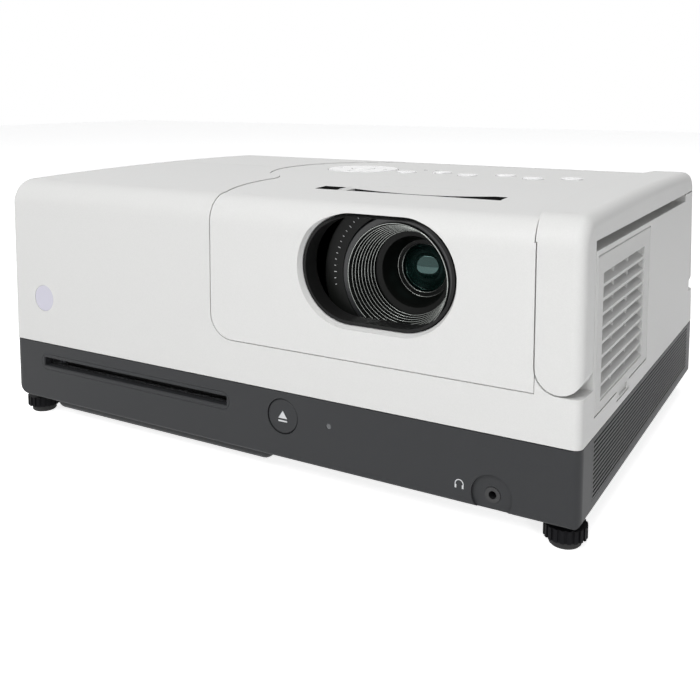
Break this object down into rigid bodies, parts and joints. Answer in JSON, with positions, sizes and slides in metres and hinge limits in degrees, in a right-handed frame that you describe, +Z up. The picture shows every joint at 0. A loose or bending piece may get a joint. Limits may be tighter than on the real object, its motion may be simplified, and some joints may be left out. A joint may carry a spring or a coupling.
{
  "type": "projector with disc player",
  "caption": "Low rectangular projector with a round lens behind an oval window, side carry handle, key field on top and a slot-in disc player in the dark base.",
  "frame": {"origin": "on the table, under the middle of the box round the object", "axes": "+X to the right along the front, +Y to the back, +Z up; the lens looks along -Y"},
  "size_m": [0.3408, 0.25, 0.1435],
  "materials": {
    "white_shell": "satin",
    "white_cover": "satin",
    "white_trim": "satin",
    "dark_base": "satin",
    "dark_grille": "satin",
    "black_inner": "matt",
    "white_key": "satin",
    "foot_black": "satin",
    "dark_trim": "satin",
    "lens_body": "satin",
    "lens_ring": "satin",
    "lens_glass": "polished",
    "ir_window": "polished",
    "light_pipe": "polished",
    "rubber": "matt",
    "steel": "brushed",
    "sheet_steel": "brushed",
    "board_green": "satin",
    "foam": "soft",
    "optics_black": "matt",
    "connector_plate": "satin",
    "connector_black": "matt"
  },
  "bodies": {
    "housing": {"air_filter": "foam", "base_shell": "dark_base", "case_screws": "steel", "disc_light": "light_pipe", "drive_chassis": "sheet_steel", "drive_lid": "sheet_steel", "fan_frame": "connector_black", "front_board": "board_green", "front_cover": "white_cover", "front_lens": "lens_glass", "handle_pins": "steel", "headphone_jack": "connector_black", "infrared_window": "ir_window", "key_board": "board_green", "lamp_cover": "white_cover", "lamp_housing": "optics_black", "lens_barrel": "lens_body", "lens_liner": "black_inner", "lens_mount": "lens_body", "light_engine": "optics_black", "main_board": "board_green", "mains_inlet": "connector_black", "middle_deck": "sheet_steel", "monitor_port": "connector_black", "phono_jacks": "connector_black", "power_supply": "sheet_steel", "rear_feet": "rubber", "rear_panel": "connector_plate", "shutter_track": "black_inner", "slot_bezel": "dark_trim", "speaker_grille_left": "dark_grille", "speaker_grille_right": "dark_grille", "speaker_left": "connector_black", "speaker_right": "connector_black", "status_lights": "light_pipe", "upper_case": "white_shell"},
    "handle": {"handle": "white_shell"},
    "filter_cover": {"filter_cover": "white_trim"},
    "eject_button": {"eject_button": "dark_trim"},
    "foot_pad_left": {"foot_pad_left": "rubber"},
    "foot_pad_right": {"foot_pad_right": "rubber"},
    "foot_dial_left": {"foot_dial_left": "foot_black"},
    "foot_dial_right": {"foot_dial_right": "foot_black"},
    "lens_shutter": {"lens_shutter": "white_trim"},
    "focus_ring": {"focus_ring": "lens_ring"},
    "zoom_ring": {"zoom_ring": "lens_ring"},
    "nav_gimbal": {"nav_gimbal": "connector_black"},
    "nav_ring": {"nav_ring": "white_key"},
    "enter_key": {"enter_key": "white_key"},
    "key_power": {"key_power": "white_key"},
    "key_source": {"key_source": "white_key"},
    "key_menu": {"key_menu": "white_key"},
    "key_back": {"key_back": "white_key"},
    "key_volume_down": {"key_volume_down": "white_key"},
    "key_volume_up": {"key_volume_up": "white_key"},
    "fan_rotor": {"fan_rotor": "connector_black"},
    "disc_roller": {"disc_roller": "rubber"},
    "turntable": {"turntable": "connector_black"},
    "laser_sled": {"laser_sled": "connector_black"},
    "power_rocker": {"power_rocker": "connector_black"}
  },
  "joints": [
    {"name": "handle_swing", "type": "hinge", "parent": "housing", "child": "handle", "pos_m": [0.16, 0, 0.078], "axis": [0, 1, 0], "range_deg": [0, 90]},
    {"name": "filter_cover_off", "type": "slide", "parent": "housing", "child": "filter_cover", "axis": [1, 0, 0], "range_m": [0, 0.015]},
    {"name": "eject_press", "type": "slide", "parent": "housing", "child": "eject_button", "axis": [0, 1, 0], "range_m": [0, 0.0012], "stiffness_N_per_m": 400},
    {"name": "foot_left_reach", "type": "slide", "parent": "housing", "child": "foot_pad_left", "axis": [0, 0, -1], "range_m": [0, 0.0101]},
    {"name": "foot_left_dial", "type": "hinge", "parent": "foot_pad_left", "child": "foot_dial_left", "pos_m": [-0.161, -0.113, 0.006], "axis": [0, 0, -1], "range_deg": [0, 2880]},
    {"name": "foot_right_reach", "type": "slide", "parent": "housing", "child": "foot_pad_right", "axis": [0, 0, -1], "range_m": [0, 0.0101]},
    {"name": "foot_right_dial", "type": "hinge", "parent": "foot_pad_right", "child": "foot_dial_right", "pos_m": [0.161, -0.113, 0.006], "axis": [0, 0, -1], "range_deg": [0, 2880]},
    {"name": "shutter_slide", "type": "slide", "parent": "housing", "child": "lens_shutter", "axis": [1, 0, 0], "range_m": [0, 0.084]},
    {"name": "focus_turn", "type": "hinge", "parent": "housing", "child": "focus_ring", "pos_m": [0.077, -0.101, 0.1045], "axis": [0, 1, 0], "range_deg": [-45, 45]},
    {"name": "zoom_turn", "type": "hinge", "parent": "housing", "child": "zoom_ring", "pos_m": [0.077, -0.089, 0.1045], "axis": [0, 1, 0], "range_deg": [-30, 30]},
    {"name": "nav_tilt_front", "type": "hinge", "parent": "housing", "child": "nav_gimbal", "pos_m": [-0.018, 0.027, 0.1375], "axis": [1, 0, 0], "range_deg": [-2.5, 2.5], "stiffness_Nm_per_rad": 0.3},
    {"name": "nav_tilt_side", "type": "hinge", "parent": "nav_gimbal", "child": "nav_ring", "pos_m": [-0.018, 0.027, 0.1375], "axis": [0, 1, 0], "range_deg": [-2.5, 2.5], "stiffness_Nm_per_rad": 0.3},
    {"name": "enter_key_press", "type": "slide", "parent": "housing", "child": "enter_key", "axis": [0, 0, -1], "range_m": [0, 0.0008], "stiffness_N_per_m": 500},
    {"name": "key_power_press", "type": "slide", "parent": "housing", "child": "key_power", "axis": [0, 0, -1], "range_m": [0, 0.0008], "stiffness_N_per_m": 500},
    {"name": "key_source_press", "type": "slide", "parent": "housing", "child": "key_source", "axis": [0, 0, -1], "range_m": [0, 0.0008], "stiffness_N_per_m": 500},
    {"name": "key_menu_press", "type": "slide", "parent": "housing", "child": "key_menu", "axis": [0, 0, -1], "range_m": [0, 0.0008], "stiffness_N_per_m": 500},
    {"name": "key_back_press", "type": "slide", "parent": "housing", "child": "key_back", "axis": [0, 0, -1], "range_m": [0, 0.0008], "stiffness_N_per_m": 500},
    {"name": "key_volume_down_press", "type": "slide", "parent": "housing", "child": "key_volume_down", "axis": [0, 0, -1], "range_m": [0, 0.0008], "stiffness_N_per_m": 500},
    {"name": "key_volume_up_press", "type": "slide", "parent": "housing", "child": "key_volume_up", "axis": [0, 0, -1], "range_m": [0, 0.0008], "stiffness_N_per_m": 500},
    {"name": "fan_spin", "type": "hinge", "parent": "housing", "child": "fan_rotor", "pos_m": [-0.158, 0.057, 0.0937], "axis": [1, 0, 0], "continuous": true},
    {"name": "roller_spin", "type": "hinge", "parent": "housing", "child": "disc_roller", "pos_m": [-0.0786, -0.106, 0.029], "axis": [1, 0, 0], "continuous": true},
    {"name": "turntable_spin", "type": "hinge", "parent": "housing", "child": "turntable", "pos_m": [-0.0786, -0.048, 0.03], "axis": [0, 0, 1], "continuous": true},
    {"name": "sled_travel", "type": "slide", "parent": "housing", "child": "laser_sled", "axis": [0, 1, 0], "range_m": [0, 0.026]},
    {"name": "power_rock", "type": "hinge", "parent": "housing", "child": "power_rocker", "pos_m": [-0.08, 0.1065, 0.073], "axis": [1, 0, 0], "range_deg": [0, 18]}
  ],
  "couplings": [
    {"joint": "foot_left_reach", "follows": "foot_left_dial", "m_per_rad": 0.00019894},
    {"joint": "foot_right_reach", "follows": "foot_right_dial", "m_per_rad": 0.00019894}
  ]
}
